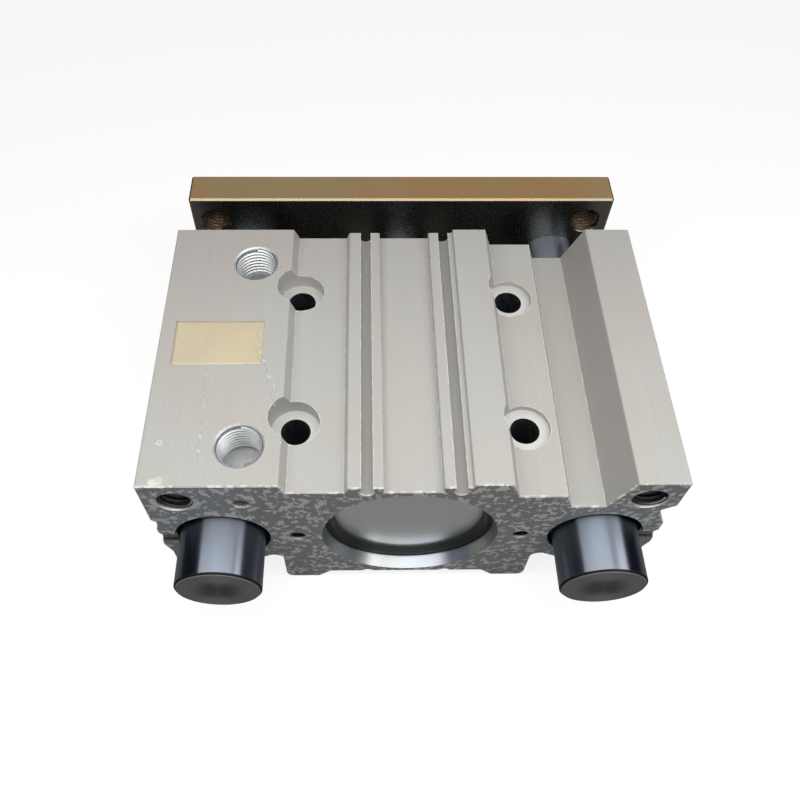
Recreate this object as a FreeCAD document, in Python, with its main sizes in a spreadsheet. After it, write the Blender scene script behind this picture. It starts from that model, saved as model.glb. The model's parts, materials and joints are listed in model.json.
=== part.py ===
"""Guided pneumatic cylinder, 50 mm bore and 50 mm stroke, drawn fully retracted.

Frame: X across the three rods, Y along them with the tooling plate at +Y, Z up, in millimetres.
The origin is the middle of the four bottom threads, on the face that the cylinder stands on.
Every sub-part's own zero along Y is the housing's head-end face.
"""
import FreeCAD
import Part
import Sketcher
import math
import operator
import os
from types import SimpleNamespace

DRIVING_SIZES = {
    # Housing: a light-metal extrusion, cut to length.
    "stroke": 50, "body_extra": 44, "body_width": 148, "body_height": 64, "head_face": -46,
    "rod_height": 32, "corner_round": 0.5, "end_break": 0.3,
    # Long steps of the extrusion's top, from the port side to the plain side.
    "port_land_edge": 36.1, "port_wall_run": 1.7, "ridge_foot": 18.9, "ridge_slope": 1,
    "ridge_top": 62.5, "ridge_half": 8, "valley_floor": 60, "ridge_outer": 15.9, "rib_edge": 26.7,
    "step_floor": 57, "step_start": 29, "step_end": 42.2, "gully_floor": 50.5,
    "gully_start": 44.5, "gully_end": 54.1, "land_edge": 59.6,
    # Flanks: how far each step lies in from the full width, and how far above the rods' axes;
    # the hip and the low end of the flanks lie below the axes.
    "flank_inset": 0.4, "waist_inset": 1.2, "waist_high": 2.8, "waist": 1.8, "hip": 4,
    "flank_low": 6, "plain_cheek": 19, "plain_nick_inset": 4,
    "plain_nick": 15.7, "plain_shelf_inset": 2.7, "plain_shelf": 11.8, "plain_flank_high": 7,
    "port_cheek": 11.5, "port_nick_inset": 1.2, "port_nick_low": 8, "port_nick_high": 10.2,
    "port_flank_high": 5.2,
    # Web under the guide rods, from the rods' axes and from the recess's roof.
    "web_outer": 17, "web_rise": 3.4, "web_keel": 7, "web_sag": 3.6, "web_inner": 13,
    # Switch grooves, with the lip that holds a sensor.
    "switch_left": 12.6, "switch_right": 12.8, "switch_slit": 3.2, "switch_channel": 4,
    "switch_height": 60.2, "under_channel": 3.8, "under_offset": 12.4, "under_height": 3.4,
    # Bosses round the guide rods, feet and legs.
    "rod_pitch": 110, "boss_diameter": 36.4, "recess_roof": 17.6, "foot_outer": 38.7,
    "foot_inner": 28, "belly_edge": 24.3, "belly_height": 4, "leg_inner": 51.5, "leg_outer": 72,
    "leg_shoulder": 21.5, "leg_top": 24, "leg_slope": 1, "recess_round": 2.8,
    "foot_round": 2.6, "leg_round": 1.5,
    # Bore, its mouths and its ring grooves.
    "bore": 50, "mouth_flare": 1, "mouth_lead": 3.4, "ring_inset": 3.8, "ring_thickness": 2,
    "ring_groove": 2.2, "ring_groove_diameter": 53, "ring_clearance": 0.2, "ring_inner": 46.6,
    "ring_gap": 7, "plier_hole": 1.6, "plier_across": 7, "plier_up": 23.8,
    # Guide bores with their bushes, felts and felt holders.
    "guide_rod": 25, "guide_clearance_bore": 27.4, "bush_bore": 28, "bush_inner": 25.08,
    "rear_bush_start": 34, "bush_length": 22, "front_bush_start": 66, "felt_pocket": 34,
    "felt_depth": 5, "felt_outer": 31, "felt_length": 3.6, "holder_inner": 26.4,
    # Ports and passages.
    "port_thread": 13.16, "port_depth": 12, "port_chamfer": 0.5, "port_side": 47.4,
    "port_head": 12.5, "port_rod": 79, "passage": 3, "passage_tilt": 106, "passage_rise": 1,
    "passage_reach": 6, "ball": 4.8, "ball_side": 47.1, "ball_height": 53.7,
    "ball_hole_depth": 7, "ball_inset": 2.7,
    # Fastening holes; threads are plain holes of the thread's nominal diameter.
    "mount_pitch_x": 66, "mount_pitch_y": 48, "mount_first": 22, "mount_hole": 8.6,
    "mount_counterbore": 14.4, "counterbore_depth": 9, "bottom_thread": 10, "bottom_depth": 20,
    "end_thread": 10, "end_thread_depth": 22, "end_pitch_x": 130, "end_pitch_z": 46,
    "thread_chamfer": 0.3, "dowel": 5, "dowel_depth": 8, "end_groove_low": 29.7,
    "end_groove_high": 34, "end_groove_depth": 1, "end_groove_inner": 5,
    # Head cover and rod collar.
    "cover_diameter": 49.9, "cover_flange": 5.5, "dome_shoulder": 46, "dome_rim": 34,
    "dome_rim_rise": 1.2, "dome_rise": 1.8, "dome_radius": 241, "shoulder_radius": 24,
    "collar_length": 7.5, "collar_bore": 20.12, "gasket_wire": 1.9, "gasket_groove": 2.4,
    "gasket_inset": 1.6, "bumper_thickness": 2.5, "bumper_outer": 40, "bumper_inner": 24,
    "stop_gap": 0.3, "rod_seal_outer": 28, "rod_seal_length": 3.5, "rod_seal_inset": 2,
    "rod_seal_bore": 20.08,
    # Piston with its rings.
    "piston_diameter": 49.8, "piston_ring_outer": 49.9, "piston_spigot": 14, "seal_start": 1.5,
    "seal_length": 3, "seal_inner": 42, "magnet_start": 5.4, "magnet_length": 3,
    "magnet_outer": 49.2, "magnet_inner": 43, "wear_start": 9.4, "wear_length": 2.6,
    "wear_inner": 47,
    # Rods, tooling plate and its bolts.
    "piston_rod": 20, "rod_overhang": 16.5, "rod_chamfer": 0.6, "rod_tap": 10, "rod_tap_depth": 23,
    "plate_gap": 16, "plate_thickness": 12, "plate_width": 146, "plate_height": 60,
    "plate_low": 2, "plate_chamfer": 0.6, "plate_thread": 10, "plate_pitch_x": 130,
    "plate_pitch_z": 40, "bolt_counterbore": 17, "bolt_counterbore_depth": 6.6,
    "bolt_clearance": 10.6, "bolt_head": 16, "bolt_head_height": 6, "bolt_shank": 9.9,
    "bolt_reach": 20, "bolt_socket": 7, "bolt_socket_depth": 3.5, "bolt_head_break": 0.6,
    "bolt_tip_break": 1,
}

OPERATIONS = {"+": operator.add, "-": operator.sub, "*": operator.mul, "/": operator.truediv}


class Size:
    """A length in mm together with the spreadsheet formula that gives it."""

    def __init__(self, value, formula):
        self.value = value
        self.formula = formula

    def __add__(self, other):
        return joined(self, "+", other)

    def __sub__(self, other):
        return joined(self, "-", other)

    def __mul__(self, other):
        return joined(self, "*", other)

    def __truediv__(self, other):
        return joined(self, "/", other)

    def __neg__(self):
        return joined(0, "-", self)

    def __rsub__(self, other):
        return joined(other, "-", self)


def as_size(number):
    """Lets a plain number stand where a Size is expected."""
    return number if isinstance(number, Size) else Size(number, str(number))


def joined(left, sign, right):
    """Combines two sizes, both as numbers and as a formula."""
    first, second = as_size(left), as_size(right)
    value = OPERATIONS[sign](first.value, second.value)
    return Size(value, "({} {} {})".format(first.formula, sign, second.formula))


def make_sheet(document):
    """Writes the driving sizes to a spreadsheet, one aliased cell each, and returns them."""
    sheet = document.addObject("Spreadsheet::Sheet", "Sizes")
    for row, (alias, value) in enumerate(DRIVING_SIZES.items(), start=1):
        sheet.set("A{}".format(row), alias)
        sheet.set("B{}".format(row), str(value))
        sheet.setAlias("B{}".format(row), alias)
    document.recompute()
    return SimpleNamespace(**{a: Size(v, "Sizes." + a) for a, v in DRIVING_SIZES.items()})


doc = FreeCAD.newDocument("guided_cylinder")
size = make_sheet(doc)

body_length = size.stroke + size.body_extra
guide_x = size.rod_pitch / 2
seat_inset = size.ring_inset + size.ring_groove
cover_end = seat_inset + size.cover_flange
piston_start = cover_end + size.bumper_thickness + size.stop_gap
collar_end = body_length - seat_inset
collar_start = collar_end - size.collar_length
piston_end = collar_start - size.bumper_thickness - size.stop_gap - size.stroke
piston_length = piston_end - piston_start
plate_back = body_length + size.plate_gap
plate_front = plate_back + size.plate_thickness
ZERO = as_size(0)
SIDES = {"left": -1, "right": 1}


# --- Drawing helpers ---------------------------------------------------------------------------

def bind(feature, property_path, length):
    """Ties a property to the spreadsheet through a size's formula."""
    feature.setExpression(property_path, as_size(length).formula)


def place(feature, x=ZERO, y=ZERO, z=ZERO):
    """Puts a sub-part at x, y from the head-end face and z."""
    bind(feature, "Placement.Base.x", x)
    bind(feature, "Placement.Base.y", size.head_face + y)
    bind(feature, "Placement.Base.z", z)


def new_body(label, x=ZERO, y=ZERO, z=ZERO):
    """An empty PartDesign body, placed by bound sizes."""
    body = doc.addObject("PartDesign::Body", label)
    body.Label = label
    place(body, x, y, z)
    return body


def new_sketch(body, name, plane, along=ZERO, across=ZERO, up=ZERO):
    """A sketch on one of the body's own planes, shifted along its normal and in its plane."""
    sketch = body.newObject("Sketcher::SketchObject", name)
    support = next(item for item in body.Origin.OriginFeatures if item.Role == plane)
    sketch.AttachmentSupport = [(support, "")]
    sketch.MapMode = "FlatFace"
    bind(sketch, "AttachmentOffset.Base.x", across)
    bind(sketch, "AttachmentOffset.Base.y", up)
    bind(sketch, "AttachmentOffset.Base.z", along)
    return sketch


def fix_point(sketch, line, point, across, up):
    """Binds a point's two distances from the sketch's origin."""
    for kind, axis, length in (("DistanceX", -2, across), ("DistanceY", -1, up)):
        length = as_size(length)
        if length.formula == "0":
            sketch.addConstraint(Sketcher.Constraint("PointOnObject", line, point, axis))
            continue
        rule = Sketcher.Constraint(kind, -1, 1, line, point, length.value)
        number = sketch.addConstraint(rule)
        sketch.setExpression("Constraints[{}]".format(number), length.formula)


def bowed(start, end, radius):
    """An arc from start to end; a positive radius bows to the left of the way, negative right."""
    chord = end - start
    half = chord.Length / 2
    rise = abs(radius) - math.sqrt(radius ** 2 - half ** 2)
    left = FreeCAD.Vector(-chord.y, chord.x, 0).normalize()
    middle = (start + end) * 0.5 + left * math.copysign(rise, radius)
    return Part.Arc(start, middle, end)


def outline(sketch, corners):
    """Draws a closed outline. A corner is (across, up), and a third size makes an arc follow it."""
    points = [FreeCAD.Vector(as_size(c[0]).value, as_size(c[1]).value, 0) for c in corners]
    ends = []
    for index, corner in enumerate(corners):
        start, end = points[index], points[(index + 1) % len(points)]
        radius = as_size(corner[2]) if len(corner) > 2 else None
        shape = bowed(start, end, radius.value) if radius else Part.LineSegment(start, end)
        line = sketch.addGeometry(shape)
        starts_here = sketch.getPoint(line, 1).distanceToPoint(start) < 1e-6
        ends.append((line, 1, 2) if starts_here else (line, 2, 1))
        if radius:
            number = sketch.addConstraint(Sketcher.Constraint("Radius", line, abs(radius.value)))
            sketch.setExpression("Constraints[{}]".format(number), "abs({})".format(radius.formula))
    for index, (line, near, far) in enumerate(ends):
        following, following_near, _ = ends[(index + 1) % len(ends)]
        sketch.addConstraint(Sketcher.Constraint("Coincident", line, far, following, following_near))
        fix_point(sketch, line, near, corners[index][0], corners[index][1])


def rectangle(sketch, left, low, right, high):
    """Draws a rectangle from its four bound sides."""
    outline(sketch, [(left, low), (right, low), (right, high), (left, high)])


def circles(sketch, diameter, spots):
    """Draws a circle of one bound diameter at each spot."""
    for across, up in spots:
        centre = FreeCAD.Vector(as_size(across).value, as_size(up).value, 0)
        ring = Part.Circle(centre, FreeCAD.Vector(0, 0, 1), as_size(diameter).value / 2)
        line = sketch.addGeometry(ring)
        fix_point(sketch, line, 3, across, up)
        rule = Sketcher.Constraint("Diameter", line, as_size(diameter).value)
        number = sketch.addConstraint(rule)
        sketch.setExpression("Constraints[{}]".format(number), as_size(diameter).formula)


def hexagon(sketch, across_flats):
    """Draws a hexagon about the sketch's origin, with two corners on the horizontal."""
    half_flat = across_flats / 2
    corner = across_flats / math.sqrt(3)
    half_corner = corner / 2
    outline(sketch, [(corner, ZERO), (half_corner, half_flat), (-half_corner, half_flat),
                     (-corner, ZERO), (-half_corner, -half_flat), (half_corner, -half_flat)])


# --- Feature helpers ---------------------------------------------------------------------------

def pad(body, sketch, length, reverse=False):
    """Raises a sketch into solid along its normal, or against it."""
    feature = body.newObject("PartDesign::Pad", sketch.Name + "_pad")
    feature.Profile = sketch
    feature.Reversed = reverse
    bind(feature, "Length", length)
    doc.recompute()
    return feature


def cut_checked(body, feature, before):
    """A cut that points away from the solid shows no error, so the volumes are compared."""
    doc.recompute()
    if body.Shape.Volume > before - 0.01:
        raise RuntimeError(feature.Label + " removes nothing")


def pocket(body, sketch, depth=None, reverse=False):
    """Cuts a sketch against its normal, or along it; no depth cuts right through."""
    before = body.Shape.Volume
    feature = body.newObject("PartDesign::Pocket", sketch.Name + "_pocket")
    feature.Profile = sketch
    feature.Reversed = reverse
    if depth is None:
        feature.Type = "ThroughAll"
    else:
        bind(feature, "Length", depth)
    cut_checked(body, feature, before)
    return feature


def revolve(body, kind, sketch):
    """Turns a sketch once round its own horizontal axis: kind is Revolution or Groove."""
    before = body.Shape.Volume if kind == "Groove" else 0
    feature = body.newObject("PartDesign::" + kind, sketch.Name + "_turned")
    feature.Profile = sketch
    feature.ReferenceAxis = (sketch, ["H_Axis"])
    feature.Angle = 360
    if kind == "Groove":
        cut_checked(body, feature, before)
    doc.recompute()
    return feature


def turned(label, profile, x=ZERO):
    """A round piece about an axis along Y, from an outline of (along the axis, radius)."""
    body = new_body(label, x, ZERO, size.rod_height)
    sketch = new_sketch(body, label + "_profile", "YZ_Plane")
    outline(sketch, profile)
    revolve(body, "Revolution", sketch)
    return body


def tube(label, start, length, outer, inner, x=ZERO):
    """A plain ring about a rod axis."""
    end = start + length
    profile = [(start, inner / 2), (end, inner / 2), (end, outer / 2), (start, outer / 2)]
    return turned(label, profile, x=x)


def dress(body, kind, size_name, length, wanted):
    """Rounds (Fillet) or bevels (Chamfer) each edge that wanted(edge) picks."""
    base = body.Tip
    names = ["Edge{}".format(i) for i, e in enumerate(base.Shape.Edges, start=1) if wanted(e)]
    if not names:
        raise RuntimeError("no edges for a " + kind + " on " + body.Label)
    feature = body.newObject("PartDesign::" + kind, "{}_{}".format(body.Name, size_name))
    feature.Base = (base, names)
    bind(feature, "Radius" if kind == "Fillet" else "Size", length)
    doc.recompute()
    return feature


def along_y_at(*spots):
    """Picks edges that run along Y through any of the given (x, z) spots."""
    def wanted(edge):
        first, last = edge.Vertexes[0].Point, edge.Vertexes[-1].Point
        if abs(first.x - last.x) > 1e-6 or abs(first.z - last.z) > 1e-6:
            return False
        return any(math.hypot(first.x - x.value, first.z - z.value) < 0.02 for x, z in spots)
    return wanted


def round_at(diameter, axis, level):
    """Picks full circles of a diameter that lie square to an axis at a level."""
    def wanted(edge):
        curve = edge.Curve
        if not isinstance(curve, Part.Circle):
            return False
        if abs(curve.Radius - as_size(diameter).value / 2) > 1e-4:
            return False
        return abs(getattr(edge.CenterOfMass, axis) - as_size(level).value) < 1e-4
    return wanted


# --- Housing -----------------------------------------------------------------------------------

def housing_outline():
    """The extrusion's cross-section without bosses and legs, as (x, z), from the port side on."""
    half = size.body_width / 2
    top, axis, roof = size.body_height, size.rod_height, size.recess_roof
    flank = half - size.flank_inset
    web_outer, web_inner = guide_x + size.web_outer, guide_x - size.web_inner
    keel, sag = guide_x - size.web_keel, roof - size.web_sag
    upper = [
        (-half, top), (-size.port_land_edge, top),
        (-size.port_land_edge + size.port_wall_run, size.valley_floor),
        (-size.ridge_foot, size.valley_floor),
        (-size.ridge_foot + size.ridge_slope, size.ridge_top),
        (-size.ridge_half, size.ridge_top), (-size.ridge_half, size.valley_floor),
        (size.ridge_half, size.valley_floor), (size.ridge_half, size.ridge_top),
        (size.ridge_outer, size.ridge_top), (size.ridge_outer, top),
        (size.rib_edge, top), (size.step_start, size.step_floor),
        (size.step_end, size.step_floor), (size.gully_start, size.gully_floor),
        (size.gully_end, size.gully_floor), (size.land_edge, top), (half, top),
    ]
    plain_side = [
        (half, axis + size.plain_cheek), (half - size.plain_nick_inset, axis + size.plain_nick),
        (half - size.plain_shelf_inset, axis + size.plain_shelf),
        (flank, axis + size.plain_flank_high), (flank, axis + size.waist_high),
        (half - size.waist_inset, axis + size.waist), (flank, axis - size.hip),
        (flank, axis - size.flank_low), (web_outer, roof + size.web_rise), (keel, sag),
        (web_inner, roof),
    ]
    underside = [
        (size.foot_outer, roof), (size.foot_outer, ZERO), (size.foot_inner, ZERO),
        (size.belly_edge, size.belly_height), (-size.belly_edge, size.belly_height),
        (-size.foot_inner, ZERO), (-size.foot_outer, ZERO), (-size.foot_outer, roof),
    ]
    port_side = [
        (-web_inner, roof), (-keel, sag), (-web_outer, roof + size.web_rise),
        (-flank, axis - size.flank_low), (-flank, axis - size.hip),
        (size.waist_inset - half, axis + size.waist), (-flank, axis + size.waist_high),
        (-flank, axis + size.port_flank_high),
        (size.port_nick_inset - half, axis + size.port_nick_low),
        (size.port_nick_inset - half, axis + size.port_nick_high),
        (-half, axis + size.port_cheek),
    ]
    return [(as_size(x), as_size(z)) for x, z in upper + plain_side + underside + port_side]


def extrude_housing(body):
    """Section, bosses and legs, all drawn on the head-end face and pulled to +Y."""
    section = new_sketch(body, "section", "XZ_Plane")
    outline(section, housing_outline())
    pad(body, section, body_length, reverse=True)
    bosses = new_sketch(body, "bosses", "XZ_Plane")
    circles(bosses, size.boss_diameter, [(guide_x * s, size.rod_height) for s in SIDES.values()])
    pad(body, bosses, body_length, reverse=True)
    for name, side in SIDES.items():
        leg = new_sketch(body, "leg_" + name, "XZ_Plane")
        outline(leg, [
            (size.leg_inner * side, ZERO), (size.leg_outer * side, ZERO),
            (size.leg_outer * side, size.leg_shoulder),
            ((size.leg_outer - size.leg_slope) * side, size.leg_top),
            (size.leg_inner * side, size.leg_top),
        ])
        pad(body, leg, body_length, reverse=True)


def round_housing(body):
    """Rounds the extrusion's long edges, then breaks the saw-cut end edges."""
    half = size.body_width / 2
    corners = [(x, z) for x, z in housing_outline() if z.value >= size.ridge_top.value]
    corners += [(half, size.rod_height + size.plain_cheek),
                (-half, size.rod_height + size.port_cheek)]
    dress(body, "Fillet", "corner_round", size.corner_round, along_y_at(*corners))
    feet = [(size.foot_outer * s, ZERO) for s in SIDES.values()]
    dress(body, "Fillet", "foot_round", size.foot_round, along_y_at(*feet))
    legs = [(across * s, ZERO) for s in SIDES.values()
            for across in (size.foot_inner, size.leg_inner, size.leg_outer)]
    legs += [(size.belly_edge * s, size.belly_height) for s in SIDES.values()]
    dress(body, "Fillet", "leg_round", size.leg_round, along_y_at(*legs))
    roofs = [(size.foot_outer * s, size.recess_roof) for s in SIDES.values()]
    dress(body, "Fillet", "recess_round", size.recess_round, along_y_at(*roofs))

    def on_end(edge):
        return all(abs(v.Y - edge.Vertexes[0].Y) < 1e-6 for v in edge.Vertexes) and (
            edge.BoundBox.YLength < 1e-6)
    dress(body, "Chamfer", "end_break", size.end_break, on_end)


def cut_switch_grooves(body):
    """Sensor channels: two lipped ones on top, two shallow ones in the belly."""
    channels = new_sketch(body, "channels", "XZ_Plane")
    circles(channels, size.switch_channel, [
        (-size.switch_left, size.switch_height), (size.switch_right, size.switch_height)])
    pocket(body, channels)
    half = size.switch_slit / 2
    for name, middle in (("left", -size.switch_left), ("right", size.switch_right)):
        slit = new_sketch(body, "slit_" + name, "XZ_Plane")
        rectangle(slit, middle - half, size.switch_height, middle + half, size.body_height)
        pocket(body, slit)
    belly = new_sketch(body, "belly_channels", "XZ_Plane")
    spots = [(size.under_offset * s, size.under_height) for s in SIDES.values()]
    circles(belly, size.under_channel, spots)
    pocket(body, belly)


def bore_housing(body):
    """Cylinder bore with its ring grooves, and the stepped guide bores."""
    bore = size.bore / 2
    groove = size.ring_groove_diameter / 2
    mouth = bore + size.mouth_flare
    rod_ring = body_length - size.ring_inset
    cylinder = new_sketch(body, "cylinder_bore", "YZ_Plane", up=size.rod_height)
    outline(cylinder, [
        (ZERO, ZERO), (ZERO, mouth), (size.mouth_lead, bore), (size.ring_inset, bore),
        (size.ring_inset, groove), (seat_inset, groove), (seat_inset, bore),
        (collar_end, bore), (collar_end, groove), (rod_ring, groove), (rod_ring, bore),
        (body_length - size.mouth_lead, bore), (body_length, mouth), (body_length, ZERO)])
    revolve(body, "Groove", cylinder)
    clearance = size.guide_clearance_bore / 2
    felt_floor = body_length - size.felt_depth
    for name, side in SIDES.items():
        guide = new_sketch(body, "guide_bore_" + name, "YZ_Plane", along=guide_x * side,
                           up=size.rod_height)
        outline(guide, [
            (ZERO, ZERO), (ZERO, clearance + size.end_break), (size.end_break, clearance),
            (size.rear_bush_start, clearance), (size.rear_bush_start, size.bush_bore / 2),
            (felt_floor, size.bush_bore / 2), (felt_floor, size.felt_pocket / 2),
            (body_length, size.felt_pocket / 2), (body_length, ZERO)])
        revolve(body, "Groove", guide)


def drill_ports(body):
    """The two ports, their passages to the bore and the drilled hole that the ball closes."""
    spots = [(-size.port_side, size.port_head), (-size.port_side, size.port_rod)]
    ports = new_sketch(body, "top_ports", "XY_Plane", along=size.body_height)
    circles(ports, size.port_thread, spots)
    pocket(body, ports, size.port_depth)
    level = size.body_height
    dress(body, "Chamfer", "port_chamfer", size.port_chamfer,
          round_at(size.port_thread, "z", level))
    floor = size.body_height - size.port_depth
    for name, along in (("head", size.port_head), ("rod", size.port_rod)):
        before = body.Shape.Volume
        drill = body.newObject("PartDesign::SubtractiveCylinder", "passage_" + name)
        tilt = FreeCAD.Rotation(FreeCAD.Vector(0, 1, 0), size.passage_tilt.value)
        drill.AttachmentOffset = FreeCAD.Placement(FreeCAD.Vector(0, 0, 0), tilt)
        drill.Placement = drill.AttachmentOffset
        bind(drill, "Placement.Base.x", -size.port_side)
        bind(drill, "Placement.Base.y", along)
        bind(drill, "Placement.Base.z", floor + size.passage_rise)
        bind(drill, "Radius", size.passage / 2)
        bind(drill, "Height", size.port_side - size.bore / 2 + size.passage_reach)
        cut_checked(body, drill, before)
    ball = new_sketch(body, "ball_hole", "XZ_Plane")
    circles(ball, size.ball, [(-size.ball_side, size.ball_height)])
    pocket(body, ball, size.ball_hole_depth)


def drill_fastening_holes(body):
    """Counterbored through holes with bottom threads, end threads, dowel holes and end grooves."""
    half_x = size.mount_pitch_x / 2
    rows = (size.mount_first, size.mount_first + size.mount_pitch_y)
    spots = [(half_x * s, row) for s in SIDES.values() for row in rows]
    through = new_sketch(body, "mount_holes", "XY_Plane", along=size.body_height)
    circles(through, size.mount_hole, spots)
    pocket(body, through)
    counterbores = new_sketch(body, "counterbores", "XY_Plane", along=size.body_height)
    circles(counterbores, size.mount_counterbore, spots)
    pocket(body, counterbores, size.counterbore_depth)
    threads = new_sketch(body, "bottom_threads", "XY_Plane")
    circles(threads, size.bottom_thread, spots)
    pocket(body, threads, size.bottom_depth, reverse=True)
    dress(body, "Chamfer", "bottom_chamfer", size.thread_chamfer,
          round_at(size.bottom_thread, "z", 0))
    ends = new_sketch(body, "end_threads", "XZ_Plane")
    circles(ends, size.end_thread, [
        (size.end_pitch_x / 2 * s, size.rod_height + size.end_pitch_z / 2 * t)
        for s in SIDES.values() for t in SIDES.values()])
    pocket(body, ends, size.end_thread_depth)
    dress(body, "Chamfer", "end_thread_chamfer", size.thread_chamfer,
          round_at(size.end_thread, "y", 0))
    dowels = new_sketch(body, "dowel_holes", "XZ_Plane")
    circles(dowels, size.dowel, [(half_x * s, size.rod_height) for s in SIDES.values()])
    pocket(body, dowels, size.dowel_depth)
    for name, side in SIDES.items():
        inner = (guide_x + size.end_groove_inner) * side
        outer = size.body_width / 2 * side
        low, high = sorted((inner, outer), key=lambda item: item.value)
        groove = new_sketch(body, "end_groove_" + name, "XZ_Plane")
        rectangle(groove, low, size.end_groove_low, high, size.end_groove_high)
        pocket(body, groove, size.end_groove_depth)


def make_housing():
    """The cylinder body: one extrusion, rounded, then bored and drilled."""
    body = new_body("cylinder_body")
    extrude_housing(body)
    round_housing(body)
    cut_switch_grooves(body)
    bore_housing(body)
    drill_ports(body)
    drill_fastening_holes(body)


# --- Pieces that stay in the housing -----------------------------------------------------------

def make_head_cover():
    """A flange with a gasket groove and a pressed dome that faces out of the head end."""
    flange = size.cover_diameter / 2
    groove_floor = flange - size.gasket_wire
    groove = seat_inset + size.gasket_inset
    turned("head_cover", [
        (seat_inset - size.dome_rise, ZERO, size.dome_radius),
        (seat_inset - size.dome_rim_rise, size.dome_rim / 2, size.shoulder_radius),
        (seat_inset, size.dome_shoulder / 2), (seat_inset, flange), (groove, flange),
        (groove, groove_floor), (groove + size.gasket_groove, groove_floor),
        (groove + size.gasket_groove, flange), (cover_end, flange), (cover_end, ZERO)])


def make_rod_collar():
    """The rod's bearing and sealing collar, with grooves for the gasket and the rod seal."""
    flange = size.cover_diameter / 2
    groove_floor = flange - size.gasket_wire
    groove = collar_start + size.gasket_inset
    seal_end = collar_end - size.rod_seal_inset
    seal_start = seal_end - size.rod_seal_length
    bore = size.collar_bore / 2
    turned("rod_collar", [
        (collar_start, bore), (seal_start, bore), (seal_start, size.rod_seal_outer / 2),
        (seal_end, size.rod_seal_outer / 2), (seal_end, bore), (collar_end, bore),
        (collar_end, flange), (groove + size.gasket_groove, flange),
        (groove + size.gasket_groove, groove_floor), (groove, groove_floor), (groove, flange),
        (collar_start, flange)])
    tube("rod_seal", seal_start, size.rod_seal_length, size.rod_seal_outer, size.rod_seal_bore)


def make_gasket(label, groove_start):
    """An O-ring in the middle of its groove."""
    ring = doc.addObject("Part::Torus", label)
    ring.Label = label
    bind(ring, "Radius1", (size.cover_diameter - size.gasket_wire) / 2)
    bind(ring, "Radius2", size.gasket_wire / 2)
    facing = FreeCAD.Rotation(FreeCAD.Vector(1, 0, 0), 90)
    ring.Placement = FreeCAD.Placement(FreeCAD.Vector(0, 0, 0), facing)
    bind(ring, "Placement.Base.y", size.head_face + groove_start + size.gasket_groove / 2)
    bind(ring, "Placement.Base.z", size.rod_height)


def make_retaining_ring(label, start):
    """An internal circlip: a broad open ring with a hole for the pliers beside its gap, on top."""
    body = new_body(label, y=start, z=size.rod_height)
    band = new_sketch(body, label + "_band", "XZ_Plane")
    circles(band, size.ring_groove_diameter - size.ring_clearance, [(ZERO, ZERO)])
    circles(band, size.ring_inner, [(ZERO, ZERO)])
    pad(body, band, size.ring_thickness, reverse=True)
    half_gap = size.ring_gap / 2
    gap = new_sketch(body, label + "_gap", "XZ_Plane")
    rectangle(gap, -half_gap, ZERO, half_gap, size.ring_groove_diameter / 2)
    pocket(body, gap, size.ring_thickness)
    holes = new_sketch(body, label + "_holes", "XZ_Plane")
    circles(holes, size.plier_hole, [(size.plier_across * s, size.plier_up) for s in SIDES.values()])
    pocket(body, holes, size.ring_thickness)


def make_bushes_and_felts():
    """Two plain bushes in each guide bore, and a felt wiper in its holder at the rod end."""
    felt_floor = body_length - size.felt_depth
    felt_end = felt_floor + size.felt_length
    outer, inner = size.felt_pocket / 2, size.holder_inner / 2
    for name, side in SIDES.items():
        x = guide_x * side
        for end, start in (("rear", size.rear_bush_start), ("front", size.front_bush_start)):
            tube("{}_bush_{}".format(end, name), start, size.bush_length, size.bush_bore,
                 size.bush_inner, x)
        tube("felt_" + name, felt_floor, size.felt_length, size.felt_outer, size.bush_inner, x)
        turned("felt_holder_" + name, [
            (felt_floor, size.felt_outer / 2), (felt_end, size.felt_outer / 2), (felt_end, inner),
            (body_length, inner), (body_length, outer), (felt_floor, outer)], x=x)


def cut_hex_socket(body, across_flats, face, depth):
    """Sinks a hexagon socket into the end of a round piece that faces +Y."""
    socket = new_sketch(body, body.Name + "_socket", "XZ_Plane", along=-face)
    hexagon(socket, across_flats)
    pocket(body, socket, depth, reverse=True)


def make_passage_ball():
    """The steel ball pressed into the drilled passage beside the left guide rod."""
    ball = doc.addObject("Part::Sphere", "passage_ball")
    ball.Label = "passage_ball"
    bind(ball, "Radius", size.ball / 2)
    place(ball, -size.ball_side, size.ball_inset, size.ball_height)


# --- Pieces that travel ------------------------------------------------------------------------

def make_piston():
    """The piston with its seal, magnet and wear ring, each in a groove."""
    outer, bore = size.piston_diameter / 2, size.piston_spigot / 2
    rings = (("piston_seal", size.seal_start, size.seal_length, size.piston_ring_outer,
              size.seal_inner),
             ("piston_magnet", size.magnet_start, size.magnet_length, size.magnet_outer,
              size.magnet_inner),
             ("piston_wear_ring", size.wear_start, size.wear_length, size.piston_ring_outer,
              size.wear_inner))
    profile = [(piston_start, bore), (piston_start, outer)]
    for label, inset, length, ring_outer, ring_inner in rings:
        start = piston_start + inset
        floor = ring_inner / 2
        profile += [(start, outer), (start, floor), (start + length, floor),
                    (start + length, outer)]
        tube(label, start, length, ring_outer, ring_inner)
    profile += [(piston_end, outer), (piston_end, bore)]
    turned("piston", profile)


def make_rods():
    """The piston rod and the two guide rods, tapped for the plate's bolts."""
    tap, tap_floor = size.rod_tap / 2, plate_back - size.rod_tap_depth
    spigot, rod = size.piston_spigot / 2, size.piston_rod / 2
    turned("piston_rod", [
        (piston_start, ZERO), (piston_start, spigot), (piston_end, spigot), (piston_end, rod),
        (plate_back, rod), (plate_back, tap), (tap_floor, tap), (tap_floor, ZERO)])
    guide, bevel = size.guide_rod / 2, size.rod_chamfer
    rear = -size.rod_overhang
    for name, side in SIDES.items():
        turned("guide_rod_" + name, [
            (rear, ZERO), (rear, guide - bevel), (rear + bevel, guide), (plate_back, guide),
            (plate_back, tap), (tap_floor, tap), (tap_floor, ZERO)], x=guide_x * side)


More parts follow.
